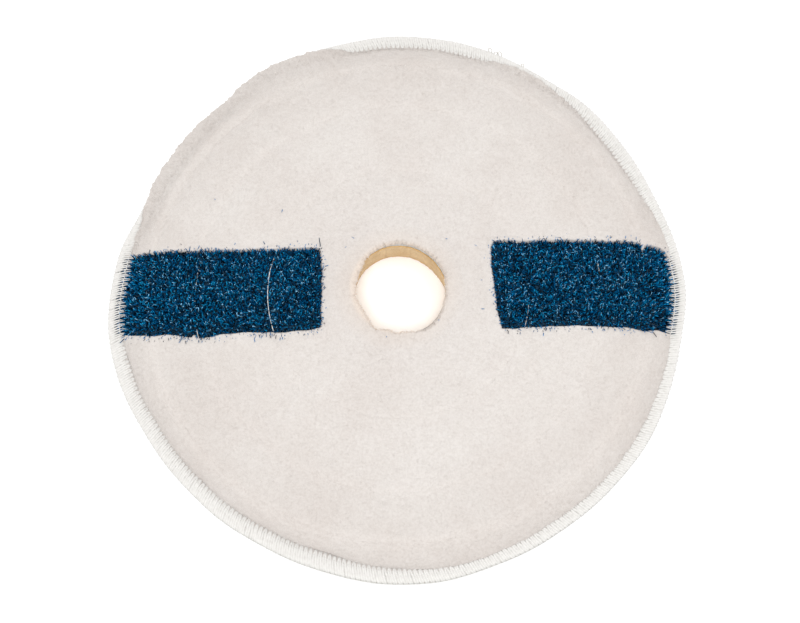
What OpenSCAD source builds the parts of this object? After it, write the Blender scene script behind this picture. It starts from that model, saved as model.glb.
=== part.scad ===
// Round scrub pad for a rotary machine: a foam disc faced with white plush pile,
// two blue bristle strips sewn across the face, quilted in three rings and
// overlocked round the rim. A hole for the driver's centre boss goes right through.
// The origin is on the hole's axis at the back, and +Z points out of the plush face.

/* [Pad] */
// Diameter over the overlocked rim
pad_d = 432; // [410:1:450]
// Diameter of the hole for the driver's centre boss
hole_d = 67; // [50:0.5:80]

/* [Layers] */
// Height of the loops on the back, which the driver's hooks hold
loop_t = 1.0; // [1:0.1:1.6]
// Thickness of the knitted cloth that carries the loops
back_t = 0.8; // [0.5:0.1:1.2]
// Thickness of the foam disc
foam_t = 19.5; // [16:0.5:23]
// Thickness of the knitted cloth that carries the pile
ground_t = 0.8; // [0.5:0.1:1.2]
// Height of the white pile over its cloth
pile_h = 4.4; // [4:0.1:5.5]

/* [Rim] */
// Width of the overlocked band
band_w = 9.2; // [8:0.1:11]
// Height of the seam's lower side above the table
seam_z = 5.4; // [4.8:0.1:6]
// Foam thickness where the seam squeezes it
seam_foam_t = 3.3; // [2.5:0.1:4]
// Thickness of the overlock threads lying on the band
thread_t = 0.9; // [0.7:0.1:1]

/* [Left strip] */
// Distance from the pad's axis to the strip's inner end
left_inner = 57.4; // [50:0.2:70]
// Width of the strip's cloth
left_w = 66.8; // [55:0.2:72]
// Sideways place of the strip's middle line at the pad's axis
left_y = 3.4; // [-4:0.2:5]
// Turn of the strip
left_tilt = 2.3; // [-3:0.1:3]
// How much further out the lower corner of the inner end lies
left_slant = -1; // [-4:0.5:6]

/* [Right strip] */
// Distance from the pad's axis to the strip's inner end
right_inner = 69.5; // [55:0.2:75]
// Width of the strip's cloth
right_w = 70.4; // [55:0.2:72]
// Sideways place of the strip's middle line at the pad's axis
right_y = 4.6; // [-4:0.2:5]
// Turn of the strip
right_tilt = -1.0; // [-3:0.1:3]
// How much further out the lower corner of the inner end lies
right_slant = 4.5; // [-4:0.5:6]

/* [Strips] */
// Thickness of the strips' stiff cloth
strip_t = 1.2; // [0.8:0.1:1.4]
// Height of the bristles over that cloth
bristle_h = 4.2; // [4:0.1:5.5]
// Bare edge of the cloth outside the bristles
selvedge = 1.8; // [1.5:0.1:2.5]

/* [Quilting] */
// Radius of the inner ring
ring_1 = 97.5; // [92:0.5:105]
// Radius of the middle ring
ring_2 = 151; // [145:0.5:158]
// Radius of the outer ring
ring_3 = 186.5; // [182:0.5:188]
// Offset of the three rings' centre from the pad's axis
ring_y = -3; // [-4:0.5:2]
// Thickness of the quilting thread
quilt_thread = 0.8; // [0.5:0.1:0.8]
// Width of the valley that the thread pulls into the pile
valley_w = 7; // [5:0.5:9]

/* [Hidden] */
$fn = 96;
pad_r = pad_d / 2;
hole_r = hole_d / 2;
seam_r = pad_r - band_w;        // inner needle line of the overlock
needle_2 = seam_r + 4;          // outer needle line
edge_r = pad_r - 1.5;           // cut edge of the layers inside the threads
top_flat = pad_r - 34;          // the face is flat as far as this radius
back_flat = pad_r - 26;         // and the back as far as this one
pile_flat = pad_r - 40;
steps = 9;                      // facets in each rolled edge
clear = 0.3;                    // gap between a strip's cloth and the pile
far = pad_r + 20;

// each surface as [height over the flat middle, height in the seam]
s_loop = [0, seam_z];
s_back = [loop_t, seam_z + 0.8];
s_foam = [loop_t + back_t, seam_z + 1.6];
s_ground = [s_foam[0] + foam_t, s_foam[1] + seam_foam_t];
s_face = [s_ground[0] + ground_t, s_ground[1] + 0.8];
s_strip = [s_face[0] + strip_t, s_face[1] + strip_t];
s_stitch = [s_strip[0] + 0.6, s_strip[1] + 0.6];
z_pile = s_face[0] + pile_h;
z_bristle = s_strip[0] + bristle_h;
z_band = s_strip[1];
z_mid = (seam_z + z_band) / 2;

function ease(t) = (1 - cos(180 * t)) / 2;
function height(s, flat, r) = r <= flat ? s[0] : r >= seam_r ? s[1]
    : s[0] + (s[1] - s[0]) * ease((r - flat) / (seam_r - flat));
function line_up(s, flat) = [for (i = [0 : steps])
    let (r = flat + (seam_r - flat) * i / steps) [r, height(s, flat, r)]];
function line_down(s, flat) = [for (i = [0 : steps])
    let (r = seam_r - (seam_r - flat) * i / steps) [r, height(s, flat, r)]];
// a fibre surface that rolls over like a quarter of an ellipse and ends at the seam
function roll(z, z_end, r_end) = [for (i = [0 : steps])
    let (a = 90 * i / steps)
    [pile_flat + (r_end - pile_flat) * sin(a), z_end + (z - z_end) * cos(a)]];

// a layer between two surfaces, from the hole out to r_out
module layer(lo, lo_flat, hi, hi_flat, r_in, r_out) {
    rotate_extrude()
        polygon(concat(
            [[r_in, lo[0]], [r_in, hi[0]]],
            line_up(hi, hi_flat),
            r_out > seam_r ? [[r_out, hi[1]], [r_out, lo[1]]] : [],
            line_down(lo, lo_flat)));
}

// outline of one strip, drawn in by inset, running outwards along +X past the rim
module strip_outline(inner, w, slant, inset) {
    polygon([[inner + inset, w / 2 - inset], [inner + slant + inset, -w / 2 + inset],
             [far, -w / 2 + inset], [far, w / 2 - inset]]);
}

module left_prism(inset) {
    translate([0, left_y, -1]) rotate([0, 0, left_tilt]) mirror([1, 0, 0])
        linear_extrude(40) strip_outline(left_inner, left_w, left_slant, inset);
}

module right_prism(inset) {
    translate([0, right_y, -1]) rotate([0, 0, right_tilt])
        linear_extrude(40) strip_outline(right_inner, right_w, right_slant, inset);
}

// valley that a quilting ring pulls into the fibres
module valley(r, z) {
    translate([0, ring_y, 0]) rotate_extrude()
        polygon([[r - quilt_thread / 2, z], [r + quilt_thread / 2, z],
                 [r + valley_w / 2, z + 5], [r + valley_w / 2, z + 9],
                 [r - valley_w / 2, z + 9], [r - valley_w / 2, z + 5]]);
}

z_valley = s_strip[0] + 0.7;
z_valley_3 = s_strip[0] - 0.2;

module valleys() {
    valley(ring_1, z_valley);
    valley(ring_2, z_valley);
    valley(ring_3, z_valley_3);
}

module thread_ring(r, z, t, w) {
    translate([0, ring_y, 0]) rotate_extrude()
        translate([r - w / 2, z]) square([w, t]);
}

module back_loops() {
    color([0.86, 0.85, 0.83]) difference() {
        layer(s_loop, back_flat, s_back, back_flat, hole_r, edge_r);
        for (r = [ring_1, ring_2, ring_3])
            thread_ring(r, -1, 1.8, quilt_thread);
    }
}

module back_ground() {
    color([0.80, 0.79, 0.77])
        layer(s_back, back_flat, s_foam, back_flat, hole_r, edge_r);
}

module foam_core() {
    color([0.83, 0.70, 0.55])
        layer(s_foam, back_flat, s_ground, top_flat, hole_r, edge_r);
}

module face_ground() {
    color([0.90, 0.88, 0.86])
        layer(s_ground, top_flat, s_face, top_flat, hole_r, edge_r);
}

module face_pile() {
    color([0.92, 0.90, 0.88]) difference() {
        rotate_extrude()
            polygon(concat(
                [[hole_r, s_face[0]], [hole_r, z_pile - 1.1],
                 [hole_r + 0.4, z_pile - 0.4], [hole_r + 1.3, z_pile]],
                roll(z_pile, s_strip[1] + 2.2, seam_r - 0.4),
                [[seam_r - 0.4, s_strip[1]], [edge_r, s_strip[1]], [edge_r, s_face[1]]],
                line_down(s_face, top_flat)));
        left_prism(-clear);
        right_prism(-clear);
        valleys();
    }
}

module strip_ground() {
    layer(s_face, top_flat, s_strip, top_flat, 40, edge_r);
}

module left_strip_ground() {
    color([0.03, 0.16, 0.27]) intersection() { strip_ground(); left_prism(0); }
}

module right_strip_ground() {
    color([0.03, 0.16, 0.27]) intersection() { strip_ground(); right_prism(0); }
}

module bristles() {
    difference() {
        rotate_extrude()
            polygon(concat(
                [[40, s_strip[0]], [40, z_bristle]],
                roll(z_bristle, s_strip[1] + 3.2, seam_r - 0.6),
                [[seam_r - 0.6, height(s_strip, top_flat, seam_r - 0.6)]],
                [for (p = line_down(s_strip, top_flat)) if (p[0] < seam_r - 0.7) p]));
        valleys();
    }
}

module left_strip_bristles() {
    color([0.02, 0.23, 0.37]) intersection() { bristles(); left_prism(selvedge); }
}

module right_strip_bristles() {
    color([0.02, 0.23, 0.37]) intersection() { bristles(); right_prism(selvedge); }
}

module stitch_layer() {
    layer(s_strip, top_flat, s_stitch, top_flat, 40, seam_r - 0.5);
}

// thread run round the bare edge of a strip
module left_strip_stitching() {
    color([0.02, 0.12, 0.2]) intersection() {
        stitch_run();
        difference() { left_prism(0.5); left_prism(1.3); }
    }
}

module right_strip_stitching() {
    color([0.02, 0.12, 0.2]) intersection() {
        stitch_run();
        difference() { right_prism(0.5); right_prism(1.3); }
    }
}

module stitch_run() {
    intersection() {
        stitch_layer();
        cylinder(r = seam_r - 0.6, h = 40);
    }
}

module quilt_thread_inner() {
    color("white") thread_ring(ring_1, z_valley, quilt_thread, quilt_thread);
}

module quilt_thread_middle() {
    color("white") thread_ring(ring_2, z_valley, quilt_thread, quilt_thread);
}

module quilt_thread_outer() {
    color("white") thread_ring(ring_3, z_valley_3, quilt_thread, quilt_thread);
}

module bobbin_thread_inner() {
    color("white") thread_ring(ring_1, 0.2, 0.6, quilt_thread);
}

module bobbin_thread_middle() {
    color("white") thread_ring(ring_2, 0.2, 0.6, quilt_thread);
}

module bobbin_thread_outer() {
    color("white") thread_ring(ring_3, 0.2, 0.6, quilt_thread);
}

// one needle line of the overlock, which shows on the face and on the back
module needle_rings(r, z_top, z_low, t) {
    rotate_extrude() translate([r - 0.4, z_top]) square([0.8, t]);
    rotate_extrude() translate([r - 0.4, z_low]) square([0.8, t]);
}

module overlock_inner_needle_thread() {
    color("white")
        needle_rings(seam_r, z_band, seam_z - thread_t + 0.1, thread_t - 0.1);
}

// the second needle line lies in the looper threads, halfway across the band
module overlock_outer_needle_thread() {
    color("white")
        needle_rings(needle_2, z_band + thread_t - 0.4, seam_z - thread_t, 0.4);
}

// looper threads: one covers the band's face, the other its back, and they lock at the edge
module overlock_upper_looper() {
    color([0.95, 0.94, 0.92]) rotate_extrude()
        polygon([[seam_r + 0.4, z_band], [seam_r + 0.4, z_band + thread_t],
                 [needle_2 - 0.4, z_band + thread_t], [needle_2 - 0.4, z_band + thread_t - 0.4],
                 [needle_2 + 0.4, z_band + thread_t - 0.4], [needle_2 + 0.4, z_band + thread_t],
                 [pad_r - 2.2, z_band + thread_t], [pad_r - 0.8, z_band + 0.3],
                 [pad_r, z_band - 1.4], [pad_r, z_mid], [edge_r, z_mid], [edge_r, z_band]]);
}

module overlock_lower_looper() {
    color([0.93, 0.92, 0.90]) rotate_extrude()
        polygon([[seam_r + 0.4, seam_z], [seam_r + 0.4, seam_z - thread_t],
                 [needle_2 - 0.4, seam_z - thread_t], [needle_2 - 0.4, seam_z - thread_t + 0.4],
                 [needle_2 + 0.4, seam_z - thread_t + 0.4], [needle_2 + 0.4, seam_z - thread_t],
                 [pad_r - 2.2, seam_z - thread_t], [pad_r - 0.8, seam_z - 0.3],
                 [pad_r, seam_z + 1.4], [pad_r, z_mid], [edge_r, z_mid], [edge_r, seam_z]]);
}

back_loops();
back_ground();
foam_core();
face_ground();
face_pile();
left_strip_ground();
left_strip_bristles();
left_strip_stitching();
right_strip_ground();
right_strip_bristles();
right_strip_stitching();
quilt_thread_inner();
quilt_thread_middle();
quilt_thread_outer();
bobbin_thread_inner();
bobbin_thread_middle();
bobbin_thread_outer();
overlock_inner_needle_thread();
overlock_outer_needle_thread();
overlock_upper_looper();
overlock_lower_looper();
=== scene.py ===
import math

import bpy
import numpy as np
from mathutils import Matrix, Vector


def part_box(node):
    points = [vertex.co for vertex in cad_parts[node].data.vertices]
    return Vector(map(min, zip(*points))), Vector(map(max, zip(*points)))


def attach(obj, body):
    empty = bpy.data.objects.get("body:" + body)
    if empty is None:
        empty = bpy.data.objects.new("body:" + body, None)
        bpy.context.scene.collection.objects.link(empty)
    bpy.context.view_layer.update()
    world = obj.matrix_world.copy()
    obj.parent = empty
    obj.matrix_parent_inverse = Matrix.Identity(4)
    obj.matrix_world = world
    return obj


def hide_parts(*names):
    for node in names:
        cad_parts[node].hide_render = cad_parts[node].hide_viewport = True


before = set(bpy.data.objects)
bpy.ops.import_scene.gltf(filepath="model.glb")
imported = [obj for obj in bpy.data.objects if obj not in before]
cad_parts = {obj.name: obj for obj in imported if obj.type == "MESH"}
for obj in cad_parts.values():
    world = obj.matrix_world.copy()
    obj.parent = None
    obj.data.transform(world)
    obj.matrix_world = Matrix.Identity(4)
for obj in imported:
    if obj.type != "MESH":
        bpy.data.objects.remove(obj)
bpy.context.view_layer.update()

# ---------------------------------------------------------------- sizes, in millimetres, read from the frame


def box(node):
    lo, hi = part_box(node)
    return np.array(lo) * 1000, np.array(hi) * 1000


def near_hole(node):
    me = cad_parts[node].data
    co = np.zeros(len(me.vertices) * 3)
    me.vertices.foreach_get("co", co)
    co = co.reshape(-1, 3) * 1000
    return float(np.hypot(co[:, 0], co[:, 1]).min())


R = float(box("overlock_upper_looper")[1][0])            # over the rim threads
EDGE = float(box("foam_core")[1][0])                     # cut edge of the layers
SEAM = float(box("overlock_inner_needle_thread")[1][0]) - 0.4
NEEDLE_2 = float(box("overlock_outer_needle_thread")[1][0]) - 0.4
HOLE = near_hole("foam_core")
Z_PILE = float(box("face_pile")[1][2])
Z_BRISTLE = float(box("left_strip_bristles")[1][2])
TOP_FLAT, BACK_FLAT, PILE_FLAT = R - 34, R - 26, R - 40
# each surface as (height over the flat middle, height in the seam)
SEAM_LO = float(box("back_loops")[1][2]) - 0.8
S_LOOP = (0.0, SEAM_LO)
S_BACK = (1.0, SEAM_LO + 0.8)
S_FOAM = (float(box("foam_core")[0][2]), SEAM_LO + 1.6)
S_GROUND = (float(box("foam_core")[1][2]), float(box("face_ground")[0][2]))
S_FACE = (float(box("face_ground")[1][2]), float(box("face_pile")[0][2]))
S_STRIP = (float(box("left_strip_ground")[1][2]), S_FACE[1] + 1.2)
Z_BAND = S_STRIP[1]
Z_MID = (SEAM_LO + Z_BAND) / 2
RINGS = [float(box("quilt_thread_" + n)[1][0]) - 0.4 for n in ("inner", "middle", "outer")]
RING_Y = float(box("quilt_thread_inner")[1][1] + box("quilt_thread_inner")[0][1]) / 2
# strips: side, inner end, width of the cloth, sideways place, turn, slant of the inner end
STRIPS = {
    "left": dict(side=-1, inner=57.4, w=66.8, y=3.4, tilt=2.3, slant=-1.0),
    "right": dict(side=1, inner=69.5, w=70.4, y=4.6, tilt=-1.0, slant=4.5),
}
SELVEDGE = 1.8


def ease(t):
    t = np.clip(t, 0, 1)
    return (1 - np.cos(np.pi * t)) / 2


def step(t):
    t = np.clip(t, 0, 1)
    return t * t * (3 - 2 * t)


def height(s, flat, r):
    return s[0] + (s[1] - s[0]) * ease((r - flat) / (SEAM - flat))


def lump(th, c, s):
    """A smooth bump over an angle in degrees."""
    d = (th - c + 180) % 360 - 180
    return np.exp(-((d / s) ** 2))


def window(th, a, b, s):
    return 0.5 * (np.tanh((th - a) / s) - np.tanh((th - b) / s))


# ---------------------------------------------------------------- the hand-made pad's uneven shape


def around(places, values, soft):
    """A smooth closed curve through values at angles in degrees."""
    t = np.arange(3600) / 10.0
    v = np.interp(t, places, values, period=360)
    k = np.arange(1801) / 360.0
    return np.fft.irfft(np.fft.rfft(v) * np.exp(-2 * (np.pi * k * soft) ** 2), n=3600)


def at(curve, th):
    u = np.asarray(th) % 360 * 10
    i = np.floor(u).astype(int) % 3600
    f = u - np.floor(u)
    return curve[i] * (1 - f) + curve[(i + 1) % 3600] * f


# how far the rim wanders from round, in millimetres, every 7.5 degrees
RIM = around(np.arange(48) * 7.5, [
    1.8, 0.8, -1.8, -2.8, -2.9, -1.9, -0.4, -0.1, 0.0, 0.3, 1.0, 2.4,
    2.5, 0.9, -0.6, 0.3, 2.0, -0.7, -2.1, -2.1, -2.1, -2.0, -1.7, -0.0,
    2.6, 4.4, 3.6, 1.2, -0.1, -0.9, -1.4, -1.5, -1.6, -1.0, -0.1, 0.7,
    2.2, 2.6, 0.8, -0.7, -1.2, -1.1, -0.6, -0.1, 0.0, -0.5, -1.2, -0.2,
], 3.0)


def wander(th):
    """How far out of round the rim is, as a share of the radius."""
    t = np.radians(th)
    return at(RIM, th) / 215 + 0.0011 * np.sin(11 * t + 1.0) + 0.0008 * np.sin(23 * t + 2.2)


def tuck(th):
    """Where the seam is drawn in under the pile."""
    return window(th, 126, 166, 5.0) + 0.3 * window(th, 52, 66, 3.0)


def lift(th):
    t = np.radians(th)
    return 1.1 + 0.75 * np.sin(2 * t + 0.6) + 0.3 * np.sin(5 * t + 2.1)


def bend(P):
    """Takes points of the true round pad to the hand-made one."""
    x, y, z = P[..., 0], P[..., 1], P[..., 2]
    r = np.hypot(x, y)
    th = np.degrees(np.arctan2(y, x)) % 360
    g = step((r - 105) / (SEAM - 105))
    r2 = r * (1 + wander(th) * g) - 5.5 * tuck(th) * step((r - 190) / (SEAM - 190))
    k = r2 / np.maximum(r, 1e-6)
    z2 = z + lift(th) * step((r - 180) / (SEAM - 180))
    return np.stack([x * k, y * k, z2], -1)


SPAN = 480.0


def noise_field(n, lo, hi, seed):
    rs = np.random.RandomState(seed)
    F = np.fft.rfft2(rs.standard_normal((n, n)))
    kx = np.fft.fftfreq(n, SPAN / n)[:, None]
    ky = np.fft.rfftfreq(n, SPAN / n)[None, :]
    k = np.sqrt(kx * kx + ky * ky) + 1e-9
    mid, wide = math.log(1 / math.sqrt(lo * hi)), math.log(hi / lo) / 2 + 0.15
    f = np.fft.irfft2(F * np.exp(-(((np.log(k) - mid) / wide) ** 2)), s=(n, n))
    return (f / f.std()).astype(np.float32)


def sample(f, x, y):
    n = f.shape[0]
    u = (np.asarray(x) / SPAN + 0.5) * n
    v = (np.asarray(y) / SPAN + 0.5) * n
    i, j = np.floor(u).astype(int), np.floor(v).astype(int)
    a, b = u - i, v - j
    i0, i1, j0, j1 = i % n, (i + 1) % n, j % n, (j + 1) % n
    return (
        f[i0, j0] * (1 - a) * (1 - b)
        + f[i1, j0] * a * (1 - b)
        + f[i0, j1] * (1 - a) * b
        + f[i1, j1] * a * b
    )


N_BROAD = noise_field(256, 40, 95, 11)
N_MID = noise_field(512, 9, 22, 12)
N_WOOL = noise_field(1024, 2.6, 6.5, 13)
N_FINE = noise_field(1600, 1.1, 2.3, 14)
N_RING = noise_field(256, 25, 60, 15)

# ---------------------------------------------------------------- mesh helpers


def mesh_object(name, V, F, material, smooth=True, colours=None):
    """V in millimetres. F is one array of faces, or several of different widths."""
    F = F if isinstance(F, list) else [F]
    me = bpy.data.meshes.new(name)
    me.vertices.add(len(V))
    me.vertices.foreach_set("co", (np.asarray(V) * 0.001).astype(np.float32).ravel())
    loops = np.concatenate([f.ravel() for f in F]).astype(np.int32)
    sizes = np.concatenate([np.full(len(f), f.shape[1], np.int32) for f in F])
    me.loops.add(len(loops))
    me.loops.foreach_set("vertex_index", loops)
    me.polygons.add(len(sizes))
    starts = np.concatenate([[0], np.cumsum(sizes)[:-1]]).astype(np.int32)
    me.polygons.foreach_set("loop_start", starts)
    me.update(calc_edges=True)
    me.polygons.foreach_set("use_smooth", np.full(len(sizes), smooth))
    if colours is not None:
        at = me.color_attributes.new("tone", "FLOAT_COLOR", "POINT")
        rgba = np.ones((len(V), 4), np.float32)
        rgba[:, :3] = colours
        at.data.foreach_set("color", rgba.ravel())
    me.materials.append(material)
    ob = bpy.data.objects.new(name, me)
    bpy.context.scene.collection.objects.link(ob)
    return ob


def grid_faces(m, n, close_rows=True, close_cols=True):
    """Faces of an m by n grid, rows outwards and columns counterclockwise."""
    i = np.arange(m if close_rows else m - 1)[:, None]
    j = np.arange(n if close_cols else n - 1)[None, :]
    i1, j1 = (i + 1) % m, (j + 1) % n
    q = np.stack(
        [i * n + j, i1 * n + j + 0 * i1, i1 * n + j1, i * n + j1 + 0 * i], -1
    )
    return q.reshape(-1, 4)


def grid_normals(P, flip=False):
    dr = np.roll(P, -1, 0) - np.roll(P, 1, 0)
    dt = np.roll(P, -1, 1) - np.roll(P, 1, 1)
    N = np.cross(dr, dt)
    N /= np.maximum(np.linalg.norm(N, axis=-1, keepdims=True), 1e-9)
    return -N if flip else N


def revolve(name, profile, n, material, shift=None, warp=True):
    """A closed ring from a closed section: rows run out along the top and back along the bottom."""
    profile = np.asarray(profile, float)
    th = np.arange(n) * 2 * np.pi / n
    P = np.stack(
        [
            profile[:, None, 0] * np.cos(th),
            profile[:, None, 0] * np.sin(th),
            profile[:, None, 1] + 0 * th,
        ],
        -1,
    )
    if shift is not None:
        P = shift(P, th)
    if warp:
        P = bend(P)
    return mesh_object(name, P.reshape(-1, 3), grid_faces(len(profile), n), material)


def tube(name, path, radius, sides, material, closed=True, twist=0.0, star=1.0, flat=1.0):
    V, F = tube_mesh(path, radius, sides, closed, twist, star, flat)
    return mesh_object(name, V, F, material)


def tube_mesh(path, radius, sides, closed=True, twist=0.0, star=1.0, flat=1.0):
    """A thread along a path. star makes a plied thread of it, twist is turns per millimetre."""
    path = np.asarray(path, float)
    m = len(path)
    if closed:
        T = np.roll(path, -1, 0) - np.roll(path, 1, 0)
    else:
        T = np.gradient(path, axis=0)
    T /= np.maximum(np.linalg.norm(T, axis=1, keepdims=True), 1e-9)
    A = np.zeros_like(path)
    a = np.cross(T[0], [0.31, 0.17, 0.93])
    a /= np.linalg.norm(a)
    for i in range(m):
        a = a - T[i] * a.dot(T[i])
        a = a / (np.linalg.norm(a) + 1e-12)
        A[i] = a
    B = np.cross(T, A)
    seg = np.linalg.norm(np.diff(path, axis=0), axis=1)
    s = np.concatenate([[0], np.cumsum(seg)])
    phi = np.arange(sides) * 2 * np.pi / sides
    ang = phi[None, :] + (s * twist * 2 * np.pi)[:, None]
    if closed and twist:  # a whole number of turns, so the ends meet
        total = s[-1] + np.linalg.norm(path[0] - path[-1])
        off = math.atan2(np.dot(A[-1], B[0]), np.dot(A[-1], A[0]))
        turns = round(total * twist) - off / (2 * np.pi)
        ang = phi[None, :] + (s / total * turns * 2 * np.pi)[:, None]
    rad = np.asarray(radius, float) * np.ones(m)
    lobes = np.where(np.arange(sides) % 2 == 0, 1.0, star)
    rr = rad[:, None] * lobes[None, :]
    P = (
        path[:, None, :]
        + (rr * np.cos(ang))[..., None] * A[:, None, :]
        + (rr * np.sin(ang))[..., None] * B[:, None, :]
    )
    V = P.reshape(-1, 3)
    F = [grid_faces(m, sides, close_rows=closed)]
    if not closed:
        ends = np.array([path[0], path[-1]])
        V = np.concatenate([V, ends])
        j = np.arange(sides)
        j1 = (j + 1) % sides
        F.append(np.stack([j, j1, 0 * j + m * sides], -1))
        k = (m - 1) * sides
        F.append(np.stack([k + j1, k + j, 0 * j + m * sides + 1], -1))
    return V, F


# ---------------------------------------------------------------- materials


def new_material(name):
    m = bpy.data.materials.new(name)
    m.use_nodes = True
    nt = m.node_tree
    p = next(n for n in nt.nodes if n.type == "BSDF_PRINCIPLED")
    return m, nt, p


def node(nt, kind, **values):
    n = nt.nodes.new(kind)
    for k, v in values.items():
        if k in n.inputs:
            n.inputs[k].default_value = v
        else:
            setattr(n, k, v)
    return n


def noise_node(nt, co, scale, detail=2.0, rough=0.5):
    n = nt.nodes.new("ShaderNodeTexNoise")
    n.inputs["Scale"].default_value = scale
    n.inputs["Detail"].default_value = detail
    n.inputs["Roughness"].default_value = rough
    nt.links.new(co, n.inputs["Vector"])
    return n.outputs["Fac"]


def ramp(nt, fac, stops):
    n = nt.nodes.new("ShaderNodeValToRGB")
    e = n.color_ramp.elements
    while len(e) < len(stops):
        e.new(0.5)
    for el, (pos, col) in zip(e, stops):
        el.position = pos
        el.color = (*col, 1)
    nt.links.new(fac, n.inputs["Fac"])
    return n.outputs["Color"]


def mix(nt, fac, a, b, blend="MIX"):
    n = nt.nodes.new("ShaderNodeMix")
    n.data_type = "RGBA"
    n.blend_type = blend
    if hasattr(fac, "is_linked"):
        nt.links.new(fac, n.inputs[0])
    else:
        n.inputs[0].default_value = fac
    for sock, v in ((n.inputs[6], a), (n.inputs[7], b)):
        if hasattr(v, "is_linked"):
            nt.links.new(v, sock)
        else:
            sock.default_value = (*v, 1)
    return n.outputs[2]


def maths(nt, op, a, b=None, clamp=False):
    n = nt.nodes.new("ShaderNodeMath")
    n.operation = op
    n.use_clamp = clamp
    for i, v in enumerate((a, b)):
        if v is None:
            continue
        if hasattr(v, "is_linked"):
            nt.links.new(v, n.inputs[i])
        else:
            n.inputs[i].default_value = v
    return n.outputs[0]


def bump(nt, p, heights, distance, strength=1.0):
    n = nt.nodes.new("ShaderNodeBump")
    n.inputs["Distance"].default_value = distance
    n.inputs["Strength"].default_value = strength
    nt.links.new(heights, n.inputs["Height"])
    nt.links.new(n.outputs["Normal"], p.inputs["Normal"])


def object_co(nt):
    return nt.nodes.new("ShaderNodeTexCoord").outputs["Object"]


PILE_LIGHT, PILE_DARK = (0.600, 0.568, 0.542), (0.574, 0.536, 0.508)


def pile_material(name, fibres):
    m, nt, p = new_material(name)
    co = object_co(nt)
    broad = noise_node(nt, co, 22, 3, 0.55)
    base = ramp(nt, broad, [(0.34, PILE_DARK), (0.62, PILE_LIGHT)])
    fine = noise_node(nt, co, 620 if not fibres else 900, 3, 0.6)
    tint = ramp(nt, fine, [(0.3, (0.90, 0.89, 0.88)), (0.6, (1.0, 1.0, 1.0))])
    colour = mix(nt, 1.0, base, tint, "MULTIPLY")
    # painted shade: greyer towards the rim, where the pile rolls over; painted light: lighter and warmer at the
    # hole's mouth, where the pile curls in
    sep = nt.nodes.new("ShaderNodeSeparateXYZ")
    nt.links.new(co, sep.inputs[0])
    r2 = maths(nt, "ADD", maths(nt, "MULTIPLY", sep.outputs[0], sep.outputs[0]), maths(nt, "MULTIPLY", sep.outputs[1], sep.outputs[1]))
    r1 = maths(nt, "MULTIPLY", maths(nt, "SQRT", r2), 4.0)
    rim_shade_and_mouth_light = ramp(nt, r1, [(0.138, (1.10, 1.03, 0.96)), (0.150, (0.985, 0.955, 0.93)), (0.20, (0.985, 0.98, 0.98)), (0.50, (0.995, 0.995, 0.995)), (0.80, (0.935, 0.925, 0.92))])
    colour = mix(nt, 1.0, colour, rim_shade_and_mouth_light, "MULTIPLY")
    # painted highlight: paler along the quilting lines, standing in for the light on the slopes of their creases
    yq = maths(nt, "SUBTRACT", sep.outputs[1], RING_Y * 0.001)
    rq = maths(nt, "SQRT", maths(nt, "ADD", maths(nt, "MULTIPLY", sep.outputs[0], sep.outputs[0]), maths(nt, "MULTIPLY", yq, yq)))
    stops = [(0.0, (1.0, 1.0, 1.0))]
    for k, rk in enumerate(RINGS):
        c, w, up = rk / 250.0, 3.4 / 250.0, (1.015, 1.025, 1.04)[k]
        stops += [(c - w * 1.6, (1.0, 1.0, 1.0)), (c - w * 0.3, (up, up, up)), (c + w * 0.5, (up, up, up)), (c + w * 2.2, (1.0, 1.0, 1.0))]
    pressed = ramp(nt, maths(nt, "MULTIPLY", rq, 4.0), stops)
    colour = mix(nt, 1.0, colour, pressed, "MULTIPLY")
    if fibres:  # painted light: the single hairs get a brighter colour, standing in for the light that passes through them
        colour = mix(nt, 1.0, colour, (1.22, 1.22, 1.22), "MULTIPLY")
    nt.links.new(colour, p.inputs["Base Color"])
    rough = maths(nt, "MULTIPLY_ADD", fine, 0.16)
    nt.nodes[-1].inputs[2].default_value = 0.80
    nt.links.new(rough, p.inputs["Roughness"])
    p.inputs["Specular IOR Level"].default_value = 0.2
    p.inputs["Sheen Weight"].default_value = 0.35
    p.inputs["Sheen Roughness"].default_value = 0.5
    p.inputs["Sheen Tint"].default_value = (1.0, 0.98, 0.96, 1)
    if not fibres:
        tangle = noise_node(nt, co, 2100, 4, 0.65)
        bump(nt, p, tangle, 0.00034, 0.85)
    return m


def cloth_material(name, light, dark, pitch_mm, bump_mm=0.25):
    """Knitted cloth: two crossed waves, so courses and wales, with uneven yarn."""
    m, nt, p = new_material(name)
    co = object_co(nt)
    sep = nt.nodes.new("ShaderNodeSeparateXYZ")
    nt.links.new(co, sep.inputs[0])
    k = 2 * math.pi / (pitch_mm * 0.001)
    sx = maths(nt, "SINE", maths(nt, "MULTIPLY", sep.outputs[0], k))
    sy = maths(nt, "SINE", maths(nt, "MULTIPLY", sep.outputs[1], k * 1.3))
    knit = maths(nt, "MULTIPLY", sx, sy)
    fuzz = noise_node(nt, co, 900, 3, 0.6)
    h = maths(nt, "ADD", knit, maths(nt, "MULTIPLY", fuzz, 0.8))
    f = maths(nt, "MULTIPLY_ADD", h, 0.3)
    nt.nodes[-1].inputs[2].default_value = 0.3
    # painted shade: the colour follows the knit's height, darker in its hollows; the fuzz in it is the yarn's own
    # uneven tone
    colour = ramp(nt, f, [(0.1, dark), (0.8, light)])
    nt.links.new(colour, p.inputs["Base Color"])
    rough = maths(nt, "MULTIPLY_ADD", fuzz, 0.15)
    nt.nodes[-1].inputs[2].default_value = 0.78
    nt.links.new(rough, p.inputs["Roughness"])
    p.inputs["Specular IOR Level"].default_value = 0.25
    p.inputs["Sheen Weight"].default_value = 0.2
    bump(nt, p, h, bump_mm * 0.001, 0.9)
    return m


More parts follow.
